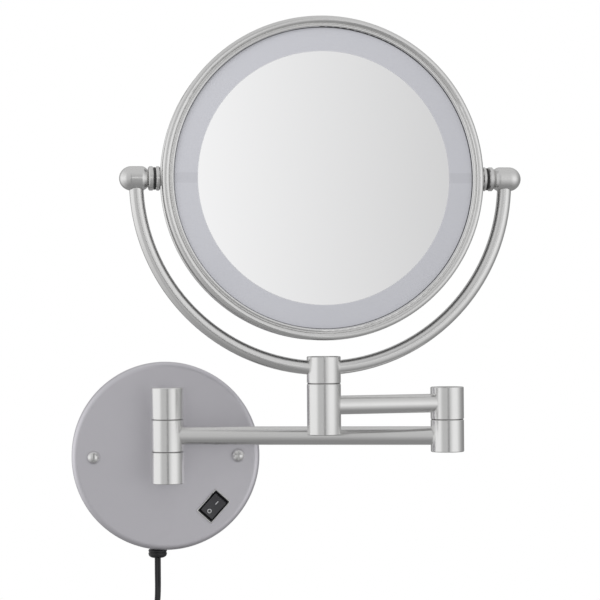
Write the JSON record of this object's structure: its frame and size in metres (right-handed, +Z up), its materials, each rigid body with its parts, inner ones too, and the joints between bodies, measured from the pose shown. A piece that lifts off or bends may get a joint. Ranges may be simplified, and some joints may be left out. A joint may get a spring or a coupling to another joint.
{
  "type": "extendable shaving mirror",
  "caption": "Round double-sided lit shaving mirror in a U-shaped yoke, on two swinging arms from a round wall cover with a rocker switch and a corded plug.",
  "frame": {"origin": "centre of the wall cover's back face, on the wall", "axes": "+Y into the wall, -Y out into the room, +Z up, +X to the right seen from the room"},
  "size_m": [0.3052, 0.1239, 0.5485],
  "materials": {
    "satin_nickel": "fine satin nickel plating, soft highlights",
    "satin_cover": "matt satin nickel on pressed sheet, a little darker and warmer than the arms",
    "plated_steel": "zinc-plated steel, hidden inside",
    "black_plastic": "black moulded plastic, lightly textured",
    "black_rubber": "black flexible PVC, slightly glossy",
    "brass": "bright nickel-washed brass",
    "silvered_glass": "silvered glass with a clear centre and a frosted ring at its edge",
    "white_plastic": "white moulded plastic",
    "white_board": "white solder mask on a circuit board",
    "light_chip": "yellow phosphor light chips"
  },
  "bodies": {
    "wall_base": {"wall_bracket": "plated_steel", "bracket_bushes": "plated_steel", "wall_cover": "satin_cover", "cover_screws": "satin_nickel", "backing_plate": "plated_steel", "column_posts": "satin_nickel", "post_nipples": "plated_steel", "post_nuts": "plated_steel", "upper_knuckle": "satin_nickel", "lower_knuckle": "satin_nickel", "wall_pin": "plated_steel", "wall_pin_nut": "plated_steel", "wall_washers": "black_plastic", "wall_column_cap": "satin_nickel", "switch_housing": "black_plastic", "switch_terminals": "plated_steel", "led_driver": "white_plastic", "strain_relief": "black_plastic", "power_cord": "black_rubber", "cord_coil": "black_rubber", "cord_tie": "black_plastic", "cord_tail": "black_rubber", "plug_body": "black_rubber", "plug_blades": "brass"},
    "rocker": {"switch_rocker": "black_plastic"},
    "first_arm": {"first_arm_hub": "satin_nickel", "first_arm_tube": "satin_nickel", "first_arm_wire": "white_plastic", "elbow_lower_hub": "satin_nickel", "elbow_pin": "plated_steel", "elbow_pin_nut": "plated_steel", "elbow_washer": "black_plastic"},
    "second_arm": {"elbow_upper_hub": "satin_nickel", "second_arm_tube": "satin_nickel", "second_arm_wire": "white_plastic", "mirror_post": "satin_nickel", "elbow_cap": "satin_nickel", "mirror_post_cap": "satin_nickel", "swivel_washer": "black_plastic"},
    "yoke": {"yoke_socket": "satin_nickel", "swivel_pin": "plated_steel", "swivel_pin_nut": "plated_steel", "yoke_tube": "satin_nickel", "yoke_wire": "white_plastic", "left_pivot_ball": "satin_nickel", "right_pivot_ball": "satin_nickel", "pivot_screws": "plated_steel", "pivot_collars": "satin_nickel", "pivot_washers": "black_rubber"},
    "head": {"head_band": "satin_nickel", "front_bezel": "satin_nickel", "rear_bezel": "satin_nickel", "front_mirror": "silvered_glass", "rear_mirror": "silvered_glass", "light_carrier": "white_plastic", "front_light_board": "white_board", "rear_light_board": "white_board", "light_chips": "light_chip", "head_bosses": "satin_nickel"}
  },
  "joints": [
    {"name": "switch_rock", "type": "hinge", "parent": "wall_base", "child": "rocker", "pos_m": [0.0332, -0.021, -0.0356], "axis": [-0.7431, 0, 0.6691], "range_deg": [0, 16]},
    {"name": "wall_swing", "type": "hinge", "parent": "wall_base", "child": "first_arm", "pos_m": [0, -0.046, 0.016], "axis": [0, 0, 1], "range_deg": [-167, 13]},
    {"name": "elbow_swing", "type": "hinge", "parent": "first_arm", "child": "second_arm", "pos_m": [0.18951, -0.08975, 0.0384], "axis": [0, 0, 1], "range_deg": [-11, 321]},
    {"name": "yoke_swivel", "type": "hinge", "parent": "second_arm", "child": "yoke", "pos_m": [0.10246, -0.10826, 0.0533], "axis": [0, 0, 1], "range_deg": [-170, 170]},
    {"name": "head_tilt", "type": "hinge", "parent": "yoke", "child": "head", "pos_m": [0.10246, -0.10826, 0.1905], "axis": [0.9994, 0.0349, 0], "range_deg": [-180, 180]}
  ]
}
